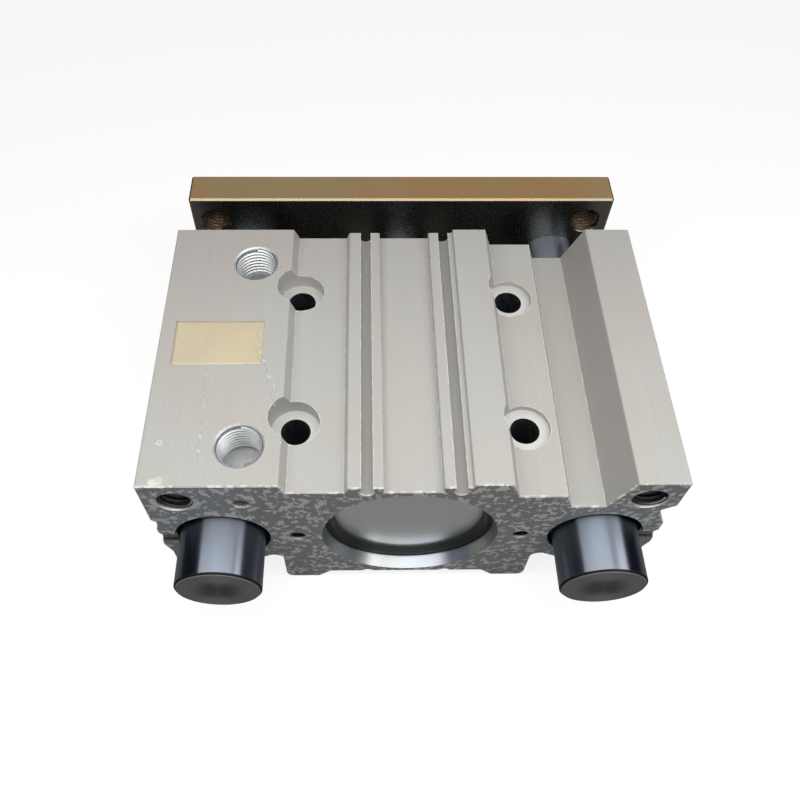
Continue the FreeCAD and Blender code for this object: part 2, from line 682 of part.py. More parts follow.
def make_tooling_plate():
    """The plate with its corner threads and three counterbored bolt holes."""
    body = new_body("tooling_plate", y=plate_back)
    half_width, middle = size.plate_width / 2, size.plate_low + size.plate_height / 2
    face = new_sketch(body, "plate_face", "XZ_Plane")
    rectangle(face, -half_width, size.plate_low, half_width, size.plate_low + size.plate_height)
    pad(body, face, size.plate_thickness, reverse=True)
    dress(body, "Chamfer", "plate_chamfer", size.plate_chamfer, lambda edge: True)
    threads = new_sketch(body, "plate_threads", "XZ_Plane")
    circles(threads, size.plate_thread, [
        (size.plate_pitch_x / 2 * s, middle + size.plate_pitch_z / 2 * t)
        for s in SIDES.values() for t in SIDES.values()])
    pocket(body, threads)
    for level in (ZERO, size.plate_thickness):
        dress(body, "Chamfer", "plate_thread_chamfer", size.thread_chamfer,
              round_at(size.plate_thread, "y", level))
    bolts = [(ZERO, size.rod_height)] + [(guide_x * s, size.rod_height) for s in SIDES.values()]
    clearance = new_sketch(body, "bolt_clearance", "XZ_Plane")
    circles(clearance, size.bolt_clearance, bolts)
    pocket(body, clearance)
    heads = new_sketch(body, "bolt_seats", "XZ_Plane", along=-size.plate_thickness)
    circles(heads, size.bolt_counterbore, bolts)
    pocket(body, heads, size.bolt_counterbore_depth, reverse=True)


def make_plate_bolts():
    """Low-head socket screws that hold the plate on the three rods."""
    seat = plate_front - size.bolt_counterbore_depth
    head_end = seat + size.bolt_head_height
    tip = seat - size.bolt_reach
    shank, head, bevel = size.bolt_shank / 2, size.bolt_head / 2, size.bolt_head_break
    tip_bevel = size.bolt_tip_break
    places = {"piston_rod_bolt": ZERO, "guide_bolt_left": -guide_x, "guide_bolt_right": guide_x}
    for label, x in places.items():
        bolt = turned(label, [
            (tip, ZERO), (tip, shank - tip_bevel), (tip + tip_bevel, shank), (seat, shank),
            (seat, head),
            (head_end - bevel, head), (head_end, head - bevel), (head_end, ZERO)], x=x)
        cut_hex_socket(bolt, size.bolt_socket, head_end, size.bolt_socket_depth)


# --- Assembly ----------------------------------------------------------------------------------

make_housing()
make_head_cover()
make_gasket("head_gasket", seat_inset + size.gasket_inset)
make_retaining_ring("head_retaining_ring", seat_inset - size.ring_thickness)
tube("head_bumper", cover_end, size.bumper_thickness, size.bumper_outer, size.bumper_inner)
make_rod_collar()
make_gasket("collar_gasket", collar_start + size.gasket_inset)
make_retaining_ring("collar_retaining_ring", collar_end)
tube("collar_bumper", collar_start - size.bumper_thickness, size.bumper_thickness,
     size.bumper_outer, size.bumper_inner)
make_bushes_and_felts()
make_passage_ball()
make_piston()
make_rods()
make_tooling_plate()
make_plate_bolts()
doc.recompute()

os.makedirs("parts", exist_ok=True)
sub_parts = [item for item in doc.RootObjects if item.isDerivedFrom("Part::Feature")]
for item in doc.Objects:
    if "Invalid" in item.State or "Error" in item.State:
        raise RuntimeError(item.Label + " did not recompute")
for item in sub_parts:
    if item.Shape.isNull() or not item.Shape.isValid():
        raise RuntimeError(item.Label + " has no valid shape")
    item.Shape.exportStep("parts/{}.step".format(item.Label))
print(len(sub_parts), "sub-parts written")
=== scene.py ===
# %% [markdown]
# # A guided air cylinder on a white table
# The real object is a block of extruded aluminium with a bore through its middle. Two thick
# guide rods run beside the bore and carry a flat steel plate. The shapes that have to be right
# for a machine builder come from the CAD program, so this lesson does not draw them again. It
# loads them as a fixed frame, gives each one the finish of the real metal, and adds what CAD
# leaves out: screw threads, the paper label and the film over it.
# %% Load the CAD frame
import json
import math

import bmesh
import bpy
from mathutils import Matrix, Vector


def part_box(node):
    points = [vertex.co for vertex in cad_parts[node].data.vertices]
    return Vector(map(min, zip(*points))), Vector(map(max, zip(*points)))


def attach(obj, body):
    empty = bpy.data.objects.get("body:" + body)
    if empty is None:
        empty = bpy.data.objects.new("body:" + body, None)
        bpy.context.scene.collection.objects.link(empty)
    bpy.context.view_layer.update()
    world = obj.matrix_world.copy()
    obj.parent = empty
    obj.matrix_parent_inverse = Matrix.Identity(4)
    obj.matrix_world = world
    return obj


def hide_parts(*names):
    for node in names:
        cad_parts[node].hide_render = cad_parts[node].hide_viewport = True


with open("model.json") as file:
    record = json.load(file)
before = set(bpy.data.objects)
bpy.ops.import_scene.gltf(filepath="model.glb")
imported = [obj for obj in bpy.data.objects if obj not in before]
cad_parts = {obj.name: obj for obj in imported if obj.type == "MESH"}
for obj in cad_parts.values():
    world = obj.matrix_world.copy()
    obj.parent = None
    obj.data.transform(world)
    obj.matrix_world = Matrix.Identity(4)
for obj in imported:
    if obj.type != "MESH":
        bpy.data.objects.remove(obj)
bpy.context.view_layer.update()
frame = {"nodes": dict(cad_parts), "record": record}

# %% [markdown]
# Many later positions are read from the frame: the box of a CAD node, or a mounting place that
# the part's record states, such as the middle of a port.
# %% Read the places that the record states
MM = 0.001
mounts = {mount["name"]: mount for mount in frame["record"]["mounts"]}
body_low, body_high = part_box("cylinder_body")
plate_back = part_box("tooling_plate")[0].y
head_face, rod_face, top_face = body_low.y, body_high.y, body_high.z
bore_axis = Vector((0, 0, mounts["head_end_dowels"]["pos_m"][2]))
rod_low, rod_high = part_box("guide_rod_right")
guide_x, rod_rear = (rod_low.x + rod_high.x) / 2, rod_low.y


def pattern_holes(name):
    """The hole centres of a bolt pattern; its second spacing runs along Y, or up on an end face."""
    mount = mounts[name]
    middle, sizes = Vector(mount["pos_m"]), mount["dims"]
    half_x = sizes["spacing_x_mm"] * MM / 2
    half_y = sizes.get("spacing_y_mm", 0) * MM / 2
    second = Vector((0, 1, 0)) if abs(mount["axis"][2]) > 0.5 else Vector((0, 0, 1))
    rows = (-1, 1) if half_y else (0,)
    return [middle + Vector((half_x * s, 0, 0)) + second * half_y * t for s in (-1, 1) for t in rows]


port_centres = [Vector(mounts[name]["pos_m"]) for name in ("port_head", "port_rod")]
for port in port_centres:
    port.z = top_face
print("ports at", [[round(c, 4) for c in port] for port in port_centres])

# %% [markdown]
# ## The camera
# The cylinder is seen from its head end and from well above, by a lens of about 36 mm that
# stands a little under 0.3 m away. A camera looks along its own -Z, so the turn about X tips it up from
# looking straight down, and the small turns about Y and Z are the tilt of a hand-held camera.
# %% Place the camera
camera_data = bpy.data.cameras.new("camera")
camera_data.lens = 36.36
camera_data.sensor_width = 36
camera_data.shift_x = 0.0273
camera_data.shift_y = -0.0170
camera_data.clip_start = 0.01
camera = bpy.data.objects.new("camera", camera_data)
camera.location = (-0.01315, -0.14320, 0.25514)
camera.rotation_euler = (math.radians(33.9998), math.radians(-0.6689), math.radians(-0.7211))
bpy.context.scene.collection.objects.link(camera)
bpy.context.scene.camera = camera
bpy.context.scene.view_settings.view_transform = "Standard"
print("camera stands", round(camera.location.length, 3), "m from the middle of the feet")

# %% [markdown]
# ## Shared effects
# Some effects appear on many metals: a cloudy tone, fine grain, the rings of a turning tool,
# bright rubbed edges. Each is built once as a node group with named sockets, and each material
# places it with its own values. A small helper wires nodes together, so that a finish reads as
# a short list of what feeds what.
# %% Helpers for node trees
def set_inputs(tree, node, inputs):
    """Sets or links inputs by name, or by number where the name is an underscore and a digit."""
    for name, value in inputs.items():
        socket = node.inputs[int(name[1:])] if name[0] == "_" else node.inputs[name.replace("_", " ")]
        if isinstance(value, bpy.types.NodeSocket):
            tree.links.new(value, socket)
        else:
            socket.default_value = value


def add_node(tree, kind, settings=None, **inputs):
    """Adds a node and sets its properties and its inputs."""
    node = tree.nodes.new("ShaderNode" + kind)
    for name, value in (settings or {}).items():
        setattr(node, name, value)
    set_inputs(tree, node, inputs)
    return node


def maths(tree, operation, first, second=0.0, clamp=False):
    """One Math node, as an output socket."""
    node = add_node(tree, "Math", {"operation": operation, "use_clamp": clamp}, _0=first, _1=second)
    return node.outputs[0]


def vector_maths(tree, operation, first, second, output=0):
    """One Vector Math node, as an output socket; output 1 is its plain number."""
    return add_node(tree, "VectorMath", {"operation": operation}, _0=first, _1=second).outputs[output]


def mixed(tree, factor, first, second):
    """A colour mix, as an output socket."""
    node = add_node(tree, "Mix", {"data_type": "RGBA"}, _0=factor, _6=first, _7=second)
    return node.outputs[2]


def stepped(tree, value, low, high):
    """A soft step: 0 below low, 1 above high."""
    settings = {"interpolation_type": "SMOOTHSTEP"}
    node = add_node(tree, "MapRange", settings, Value=value, From_Min=low, From_Max=high)
    return node.outputs[0]


def noise(tree, vector, scale, detail=2.0, stretch=(1, 1, 1)):
    """A noise value over the object's own coordinates, stretched along an axis by a small scale."""
    mapping = add_node(tree, "Mapping", Vector=vector, Scale=stretch)
    node = add_node(tree, "TexNoise", Vector=mapping.outputs[0], Scale=scale, Detail=detail)
    return node.outputs["Fac"]


def new_group(name, inputs, outputs):
    """An empty shader group with typed sockets: returns the tree, its inputs and its end."""
    tree = bpy.data.node_groups.new(name, "ShaderNodeTree")
    kinds = {"value": "NodeSocketFloat", "colour": "NodeSocketColor", "place": "NodeSocketVector"}
    for socket, kind in inputs.items():
        tree.interface.new_socket(socket, in_out="INPUT", socket_type=kinds[kind])
    for socket, kind in outputs.items():
        tree.interface.new_socket(socket, in_out="OUTPUT", socket_type=kinds[kind])
    return tree, tree.nodes.new("NodeGroupInput").outputs, tree.nodes.new("NodeGroupOutput").inputs


def place_group(tree, group, **inputs):
    """Puts a shared effect into a material; returns its outputs."""
    node = tree.nodes.new("ShaderNodeGroup")
    node.node_tree = group
    set_inputs(tree, node, inputs)
    return node.outputs


print("node helpers ready")

# %% [markdown]
# Hard anodising and plating are never one even grey. Broad clouds, a few centimetres across,
# come from the bath, and long faint streaks from the extrusion die. Two noises of different
# size, one of them stretched along Y, mix between three tones.
# %% Group: clouded metal tone
clouded_tone, given, result = new_group(
    "clouded tone",
    {"Tone": "colour", "Cool tone": "colour", "Warm tone": "colour", "Cloud scale": "value",
     "Streaks": "value"},
    {"Color": "colour"})
where = add_node(clouded_tone, "TexCoord").outputs["Object"]
cool = stepped(clouded_tone, noise(clouded_tone, where, given["Cloud scale"], 3), 0.35, 0.7)
shifted = add_node(clouded_tone, "Mapping", Vector=where, Location=(0.31, 0.17, 0.08)).outputs[0]
warm = stepped(clouded_tone, noise(clouded_tone, shifted, given["Cloud scale"], 3), 0.4, 0.7)
streak = noise(clouded_tone, where, 900.0, 2, stretch=(1, 0.02, 1))
tone = mixed(clouded_tone, cool, given["Tone"], given["Cool tone"])
tone = mixed(clouded_tone, warm, tone, given["Warm tone"])
streak_swing = maths(clouded_tone, "SUBTRACT", streak, 0.5)
dimming = maths(clouded_tone, "MULTIPLY", streak_swing, given["Streaks"])
level = maths(clouded_tone, "ADD", dimming, 1.0)
scaled = add_node(clouded_tone, "VectorMath", {"operation": "SCALE"}, Vector=tone, Scale=level)
clouded_tone.links.new(scaled.outputs[0], result["Color"])
print("clouded tone:", len(clouded_tone.nodes), "nodes")

# %% [markdown]
# A blasted or anodised skin has a grain of a few tenths of a millimetre. It is too fine to
# model, so it goes out as a height for a Bump node and as a mask that varies the roughness.
# %% Group: fine grain
fine_grain, given, result = new_group(
    "fine grain", {"Grain scale": "value"}, {"Height": "value", "Mask": "value"})
where = add_node(fine_grain, "TexCoord").outputs["Object"]
grain = noise(fine_grain, where, given["Grain scale"], 4)
fine_grain.links.new(grain, result["Height"])
fine_grain.links.new(stepped(fine_grain, grain, 0.35, 0.65), result["Mask"])
print("fine grain:", len(fine_grain.nodes), "nodes")

# %% [markdown]
# Edges of an aluminium block lose their skin first: the corner shows bare bright metal, and it
# is broken up into nicks where something hit it. A Bevel node gives a rounded normal near an
# edge, so the difference from the true normal marks the edge, and noise breaks the line up.
# %% Group: rubbed edges
rubbed_edges, given, result = new_group(
    "rubbed edges", {"Nick scale": "value", "Amount": "value"}, {"Line": "value", "Nicks": "value"})
where = add_node(rubbed_edges, "TexCoord").outputs["Object"]
rounded = add_node(rubbed_edges, "Bevel", {"samples": 6}, Radius=0.0005).outputs[0]
facing = add_node(rubbed_edges, "NewGeometry").outputs["True Normal"]
agreement = vector_maths(rubbed_edges, "DOT_PRODUCT", rounded, facing, 1)
edge = stepped(rubbed_edges, agreement, 0.995, 0.86)
break_up = noise(rubbed_edges, where, given["Nick scale"], 4)
threshold = maths(rubbed_edges, "SUBTRACT", 0.75, given["Amount"])
nicks = stepped(rubbed_edges, break_up, threshold, maths(rubbed_edges, "ADD", threshold, 0.06))
rubbed_edges.links.new(edge, result["Line"])
rubbed_edges.links.new(maths(rubbed_edges, "MULTIPLY", edge, nicks), result["Nicks"])
print("rubbed edges:", len(rubbed_edges.nodes), "nodes")

# %% [markdown]
# A lathe leaves fine rings round the axis that the piece was turned about. Their height is a
# wave of the distance from that axis, disturbed a little so that it does not look printed.
# %% Group: turning rings
turning_rings, given, result = new_group(
    "turning rings", {"Centre": "place", "Rings per metre": "value"},
    {"Height": "value"})
where = add_node(turning_rings, "TexCoord").outputs["Object"]
offset = vector_maths(turning_rings, "SUBTRACT", where, given["Centre"])
flat = vector_maths(turning_rings, "MULTIPLY", offset, (1, 0, 1))
distance = add_node(turning_rings, "VectorMath", {"operation": "LENGTH"}, _0=flat).outputs["Value"]
wobble = maths(turning_rings, "MULTIPLY", noise(turning_rings, where, 60.0, 0), 0.0003)
uneven = maths(turning_rings, "ADD", distance, wobble)
phase = maths(turning_rings, "MULTIPLY", uneven, given["Rings per metre"])
turning_rings.links.new(maths(turning_rings, "SINE", phase), result["Height"])
print("turning rings:", len(turning_rings.nodes), "nodes")

# %% [markdown]
# A used block carries single scratches and knocks. Each is a short straight line on the skin: the
# group measures how far a point lies from the line between a start and an end, and fades the mark
# out at its width. Start and end at one place make a round knock.
# %% Group: a single mark
single_mark, given, result = new_group(
    "single mark", {"Start": "place", "End": "place", "Width": "value"}, {"Mask": "value"})
where = add_node(single_mark, "TexCoord").outputs["Object"]
from_start = vector_maths(single_mark, "SUBTRACT", where, given["Start"])
run = vector_maths(single_mark, "SUBTRACT", given["End"], given["Start"])
covered = vector_maths(single_mark, "DOT_PRODUCT", from_start, run, 1)
whole = vector_maths(single_mark, "DOT_PRODUCT", run, run, 1)
share = maths(single_mark, "DIVIDE", covered, maths(single_mark, "MAXIMUM", whole, 1e-12), clamp=True)
nearest = add_node(single_mark, "VectorMath", {"operation": "SCALE"}, Vector=run, Scale=share).outputs[0]
gap = vector_maths(single_mark, "DISTANCE", from_start, nearest, 1)
ragged = maths(single_mark, "ADD", noise(single_mark, where, 2500.0, 3), 0.5)
reach = maths(single_mark, "MULTIPLY", given["Width"], ragged)
core = maths(single_mark, "MULTIPLY", reach, 0.6)
single_mark.links.new(stepped(single_mark, gap, reach, core), result["Mask"])
print("single mark:", len(single_mark.nodes), "nodes")


# %% [markdown]
# ## The finishes
# A finish starts as one Principled shader with its constant values on its own sockets. What
# varies over the surface comes from the shared effects. Three small functions do the wiring.
# %% Start a finish
def new_finish(name, colour, roughness, metallic, **sockets):
    """A material with one Principled shader; further sockets are set by name."""
    material = bpy.data.materials.new(name)
    material.use_nodes = True
    shader = material.node_tree.nodes["Principled BSDF"]
    shader.inputs["Base Color"].default_value = (*colour, 1)
    shader.inputs["Roughness"].default_value = roughness
    shader.inputs["Metallic"].default_value = metallic
    for socket, value in sockets.items():
        shader.inputs[socket.replace("_", " ")].default_value = value
    return material, material.node_tree, shader


def feed(tree, shader, socket, value):
    """Links a varying value to one of the shader's sockets."""
    tree.links.new(value, shader.inputs[socket])


def vary(tree, shader, socket, mask, low, high):
    """Drives a socket between two values by a mask."""
    node = add_node(tree, "MapRange", Value=mask, To_Min=low, To_Max=high)
    tree.links.new(node.outputs[0], shader.inputs[socket])


def add_bump(tree, shader, height, depth):
    """Raises a height into the shader's normal; depth is in metres."""
    node = add_node(tree, "Bump", Height=height, Distance=depth)
    tree.links.new(node.outputs[0], shader.inputs["Normal"])


finishes = {}
print("finish helpers ready")

# %% [markdown]
# The body is hard anodised and matt: a light warm grey with pinkish and greenish clouds. Bare
# aluminium shines through at the nicked edges. Tiny white specks sit in the skin here and there,
# and a broken bright burr runs along the head end. The slope beside the right-hand block is the
# same metal, but gets a darker tone, because one lamp overhead leaves it too light.
# %% Finish: anodised aluminium
def marked(tree, colour, marks):
    """Lays single marks over a colour; each is start, end, width and the mark's own colour."""
    for start, end, width, mark_colour in marks:
        mask = place_group(
            tree, single_mark, Start=Vector(start) * MM, End=Vector(end) * MM, Width=width * MM)
        colour = mixed(tree, mask["Mask"], colour, (*mark_colour, 1))
    return colour


def anodised(name, tone, cool, warm, nick_amount, marks=()):
    """The matt skin of the extrusion, in a given tone."""
    material, tree, shader = new_finish(name, tone, 0.5, 0.0, Specular_IOR_Level=0.3)
    colour = place_group(
        tree, clouded_tone, Tone=(*tone, 1), Cool_tone=(*cool, 1), Warm_tone=(*warm, 1),
        Cloud_scale=26.0, Streaks=0.10)["Color"]
    grain = place_group(tree, fine_grain, Grain_scale=2600.0)
    wear = place_group(tree, rubbed_edges, Nick_scale=420.0, Amount=nick_amount)
    speckle = maths(tree, "MULTIPLY", stepped(tree, grain["Height"], 0.62, 0.8), 0.35)
    colour = mixed(tree, speckle, colour, (0.80, 0.79, 0.77, 1))
    colour = mixed(tree, maths(tree, "MULTIPLY", wear["Line"], 0.35), colour, (0.78, 0.77, 0.75, 1))
    colour = mixed(tree, wear["Nicks"], colour, (0.90, 0.89, 0.87, 1))
    where = add_node(tree, "TexCoord").outputs["Object"]
    at_end = stepped(tree, add_node(tree, "SeparateXYZ", Vector=where).outputs["Y"],
                     head_face + 0.65 * MM, head_face + 0.25 * MM)
    burr = maths(tree, "MULTIPLY", at_end, stepped(tree, noise(tree, where, 620.0, 3), 0.52, 0.58))
    colour = mixed(tree, burr, colour, (0.85, 0.85, 0.84, 1))
    feed(tree, shader, "Base Color", marked(tree, colour, marks))
    vary(tree, shader, "Roughness", grain["Mask"], 0.46, 0.60)
    add_bump(tree, shader, grain["Height"], 0.00006)
    return material


bright, dull = (0.70, 0.70, 0.69), (0.28, 0.27, 0.25)
yellow, plain = (0.60, 0.61, 0.44), (0.49, 0.49, 0.47)
skin_marks = [
    ((-69.4, -44.6, 64), (-67.6, -44.2, 64), 1.30, bright),
    ((-67.9, -43.7, 64), (-67.5, -43.7, 64), 1.10, yellow),
    ((-69.0, -32.5, 64), (-69.0, -32.5, 64), 1.00, bright),
    ((-69.0, -32.4, 64), (-69.0, -32.4, 64), 0.60, plain),
    ((-36.0, -32.7, 64), (-35.4, -31.6, 64), 0.45, bright),
    ((-57.0, -45.9, 64), (-50.5, -45.9, 64), 0.16, dull),
    ((0.4, -45.8, 60.2), (1.8, -45.6, 60.2), 0.45, bright),
]
finishes["skin"] = anodised(
    "anodised skin", (0.490, 0.480, 0.455), (0.475, 0.485, 0.462), (0.490, 0.460, 0.438), 0.27, skin_marks)
finishes["slope"] = anodised(
    "shaded slope", (0.400, 0.392, 0.372), (0.385, 0.395, 0.380), (0.400, 0.378, 0.360), 0.27)
# The sawn ends take a darker tone than the skin: painted shade.
finishes["cut end"] = anodised(
    "cut end", (0.370, 0.378, 0.378), (0.370, 0.400, 0.435), (0.380, 0.370, 0.360), 0.24)
print("anodised finishes ready")

# %% [markdown]
# Inside the ports, threads and bores the cutter has left bare, bright metal. Holes that go
# right through, and the guide bores, are near black with a faint grain.
# %% Finish: machined surfaces of the body
material, tree, shader = new_finish("machined thread", (0.56, 0.57, 0.58), 0.5, 0.75)
grain = place_group(tree, fine_grain, Grain_scale=1800.0)
feed(tree, shader, "Base Color", mixed(tree, grain["Mask"], (0.52, 0.54, 0.55, 1), (0.60, 0.61, 0.62, 1)))
vary(tree, shader, "Roughness", grain["Mask"], 0.44, 0.56)
finishes["thread"] = material

material, tree, shader = new_finish("end hole", (0.10, 0.10, 0.10), 0.45, 0.8)
grain = place_group(tree, fine_grain, Grain_scale=1800.0)
where = add_node(tree, "TexCoord").outputs["Object"]
depth = add_node(tree, "SeparateXYZ", Vector=where).outputs["Y"]
# Past the first millimetre the end hole is near black; its mouth keeps a bright bare lip.
deep_tone = mixed(tree, grain["Mask"], (0.035, 0.035, 0.036, 1), (0.10, 0.10, 0.10, 1))
mouth = stepped(tree, depth, head_face + 1.0 * MM, head_face + 0.6 * MM)
feed(tree, shader, "Base Color", mixed(tree, mouth, deep_tone, (0.80, 0.80, 0.79, 1)))
vary(tree, shader, "Roughness", grain["Mask"], 0.38, 0.52)
finishes["end hole"] = material

material, tree, shader = new_finish(
    "honed bore", (0.62, 0.64, 0.61), 0.45, 1.0, Anisotropic=0.8, Anisotropic_Rotation=0.25)
around = add_node(tree, "Tangent", {"direction_type": "RADIAL", "axis": "Y"})
feed(tree, shader, "Tangent", around.outputs[0])
where = add_node(tree, "TexCoord").outputs["Object"]
sheen = noise(tree, where, 60.0, 2)
ramp = mixed(tree, stepped(tree, sheen, 0.35, 0.6), (0.53, 0.56, 0.48, 1), (0.49, 0.51, 0.57, 1))
feed(tree, shader, "Base Color", ramp)
hone = noise(tree, where, 1500.0, 2, stretch=(1, 0.2, 1))
vary(tree, shader, "Roughness", hone, 0.36, 0.46)
finishes["honed"] = material

material, tree, shader = new_finish("spot face", (0.66, 0.66, 0.64), 0.42, 0.35)
grain = place_group(tree, fine_grain, Grain_scale=1500.0)
vary(tree, shader, "Roughness", grain["Mask"], 0.32, 0.50)
add_bump(tree, shader, grain["Height"], 0.00005)
finishes["spot face"] = material

material, tree, shader = new_finish("near-black hole", (0.012, 0.014, 0.020), 0.6, 0.0)
grain = place_group(tree, fine_grain, Grain_scale=700.0)
near_black = mixed(tree, grain["Mask"], (0.008, 0.009, 0.013, 1), (0.020, 0.022, 0.028, 1))
feed(tree, shader, "Base Color", near_black)
vary(tree, shader, "Roughness", grain["Mask"], 0.5, 0.75)
finishes["near-black hole"] = material
print("machined finishes ready")

# %% [markdown]
# Hard chrome on a ground rod mirrors its room. In a studio with a white table it would turn
# white, so the tone here is the dark blue-grey that such a rod shows in a dim workshop, and the
# cards set up further down give it its bands. Grinding leaves faint rings round it.
# %% Finish: hard chrome
material, tree, shader = new_finish(
    "hard chrome", (0.19, 0.22, 0.26), 0.3, 1.0, Specular_IOR_Level=0.25,
    Anisotropic=0.95, Anisotropic_Rotation=0.25)
around = add_node(tree, "Tangent", {"direction_type": "RADIAL", "axis": "Y"})
feed(tree, shader, "Tangent", around.outputs[0])
where = add_node(tree, "TexCoord").outputs["Object"]
smears = noise(tree, where, 140.0, 3)
polish = mixed(tree, stepped(tree, smears, 0.3, 0.75), (0.185, 0.222, 0.262, 1), (0.19, 0.205, 0.245, 1))
along = add_node(tree, "SeparateXYZ", Vector=where).outputs["Y"]
sawn = stepped(tree, along, rod_rear + 0.8 * MM, rod_rear + 0.7 * MM)
faced = stepped(tree, along, rod_rear + 0.2 * MM, rod_rear + 0.05 * MM)
mirrored = add_node(tree, "VectorMath", {"operation": "ABSOLUTE"}, _0=where).outputs[0]
axle = Vector((guide_x, rod_rear, bore_axis.z))
from_axle = vector_maths(tree, "DISTANCE", mirrored, (axle.x, -axle.y, axle.z), 1)
# The end face is darker towards its middle, a painted reflection; the chamfer band behind it is near black.
rim = stepped(tree, from_axle, 3 * MM, 9 * MM)
steel = mixed(tree, rim, (0.115, 0.108, 0.125, 1), (0.30, 0.29, 0.30, 1))
steel = mixed(tree, faced, (0.010, 0.010, 0.013, 1), steel)
feed(tree, shader, "Base Color", mixed(tree, sawn, polish, steel))
vary(tree, shader, "Metallic", sawn, 1.0, 0.0)
scratches = noise(tree, where, 1600.0, 2, stretch=(1, 0.06, 1))
dulled = maths(tree, "MAXIMUM", sawn, maths(tree, "MULTIPLY", scratches, 0.2))
vary(tree, shader, "Roughness", dulled, 0.25, 0.70)
finishes["chrome"] = material
print("hard chrome ready")

# %% [markdown]
# The plate is nickel-plated steel with a satin, slightly golden skin. Both its gold tone and the
# duller tone of its back are chosen for this light, and are darker than clean nickel.
# %% Finish: nickel-plated steel
material, tree, shader = new_finish("nickel plate", (0.28, 0.20, 0.11), 0.36, 1.0)
colour = place_group(
    tree, clouded_tone, Tone=(0.28, 0.20, 0.105, 1), Cool_tone=(0.25, 0.185, 0.10, 1),
    Warm_tone=(0.29, 0.17, 0.075, 1), Cloud_scale=18.0, Streaks=0.05)["Color"]
grain = place_group(tree, fine_grain, Grain_scale=2400.0)
wear = place_group(tree, rubbed_edges, Nick_scale=300.0, Amount=0.25)
where = add_node(tree, "TexCoord").outputs["Object"]
depth = add_node(tree, "SeparateXYZ", Vector=where).outputs["Y"]
# The back face is darker: a painted reflection of the shaded gap between plate and body.
painted_shade_back = stepped(tree, depth, plate_back + 0.4 * MM, plate_back + 0.1 * MM)
colour = mixed(tree, painted_shade_back, colour, (0.20, 0.19, 0.17, 1))
colour = mixed(tree, maths(tree, "MULTIPLY", wear["Line"], 0.5), colour, (0.17, 0.155, 0.125, 1))
feed(tree, shader, "Base Color", colour)
vary(tree, shader, "Roughness", grain["Mask"], 0.25, 0.32)
add_bump(tree, shader, grain["Height"], 0.0000015)
finishes["nickel"] = material
print("nickel ready")

# %% [markdown]
# The pieces inside the bores: a satin pressed cover with faint turning rings, a phosphated
# black ring, rubber, felt, bronze and two resins. Little of them shows, but each gets its own
# tone, gloss and grain.
# %% Finish: small pieces
material, tree, shader = new_finish("satin aluminium", (0.90, 0.93, 0.93), 0.26, 1.0)
rings = place_group(tree, turning_rings, Centre=bore_axis, Rings_per_metre=9000.0)
vary(tree, shader, "Roughness", rings["Height"], 0.262, 0.269)
finishes["satin"] = material


def plain_piece(name, dark, light, roughness, metallic, grain_scale, depth):
    """A small piece's finish: two tones, a roughness range and a grain."""
    material, tree, shader = new_finish(name, light, roughness, metallic)
    grain = place_group(tree, fine_grain, Grain_scale=grain_scale)
    feed(tree, shader, "Base Color", mixed(tree, grain["Mask"], (*dark, 1), (*light, 1)))
    vary(tree, shader, "Roughness", grain["Mask"], roughness - 0.06, roughness + 0.08)
    add_bump(tree, shader, grain["Height"], depth)
    return material


# Each row: key, name, dark tone, light tone, roughness, metallic, grain scale, bump depth.
small_pieces = [
    ("phosphate", "phosphated steel", (0.012, 0.013, 0.013), (0.030, 0.032, 0.032), 0.45, 0.4, 1600, 0.00002),
    ("black bolt", "blackened bolt", (0.02, 0.02, 0.022), (0.045, 0.045, 0.048), 0.4, 0.7, 1500, 0.00002),
    ("ball steel", "ball steel", (0.10, 0.10, 0.11), (0.16, 0.16, 0.17), 0.3, 1.0, 900, 0.00001),
    ("bronze", "oiled bronze", (0.30, 0.19, 0.08), (0.44, 0.29, 0.13), 0.4, 1.0, 1200, 0.00002),
    ("rubber", "nitrile rubber", (0.012, 0.012, 0.013), (0.022, 0.022, 0.023), 0.6, 0.0, 1400, 0.00003),
    ("magnet", "bonded magnet", (0.035, 0.033, 0.032), (0.06, 0.056, 0.053), 0.6, 0.2, 1100, 0.00004),
    ("wear resin", "wear resin", (0.42, 0.36, 0.25), (0.52, 0.46, 0.34), 0.5, 0.0, 900, 0.00002),
    ("holder resin", "holder resin", (0.020, 0.020, 0.022), (0.035, 0.035, 0.037), 0.5, 0.0, 1000, 0.00002),
    ("felt", "wiper felt", (0.30, 0.28, 0.25), (0.55, 0.52, 0.46), 0.95, 0.0, 2200, 0.0002),
    ("rusty thread", "rusty thread", (0.06, 0.034, 0.022), (0.15, 0.10, 0.07), 0.45, 0.8, 900, 0.00001),
    # The three root rows darken the thread roots: painted shade under the crests; the rusty one keeps its
    # rust tone.
    ("thread root", "thread root", (0.10, 0.105, 0.11), (0.20, 0.205, 0.21), 0.5, 0.3, 1500, 0.00001),
    ("end hole root", "end hole root", (0.02, 0.02, 0.02), (0.04, 0.04, 0.04), 0.5, 0.3, 1500, 0.00001),
    ("rusty thread root", "rusty root", (0.02, 0.010, 0.006), (0.05, 0.028, 0.018), 0.6, 0.3, 1500, 0.00001),
]
for key, *values in small_pieces:
    finishes[key] = plain_piece(*values)
print(len(finishes), "finishes so far")

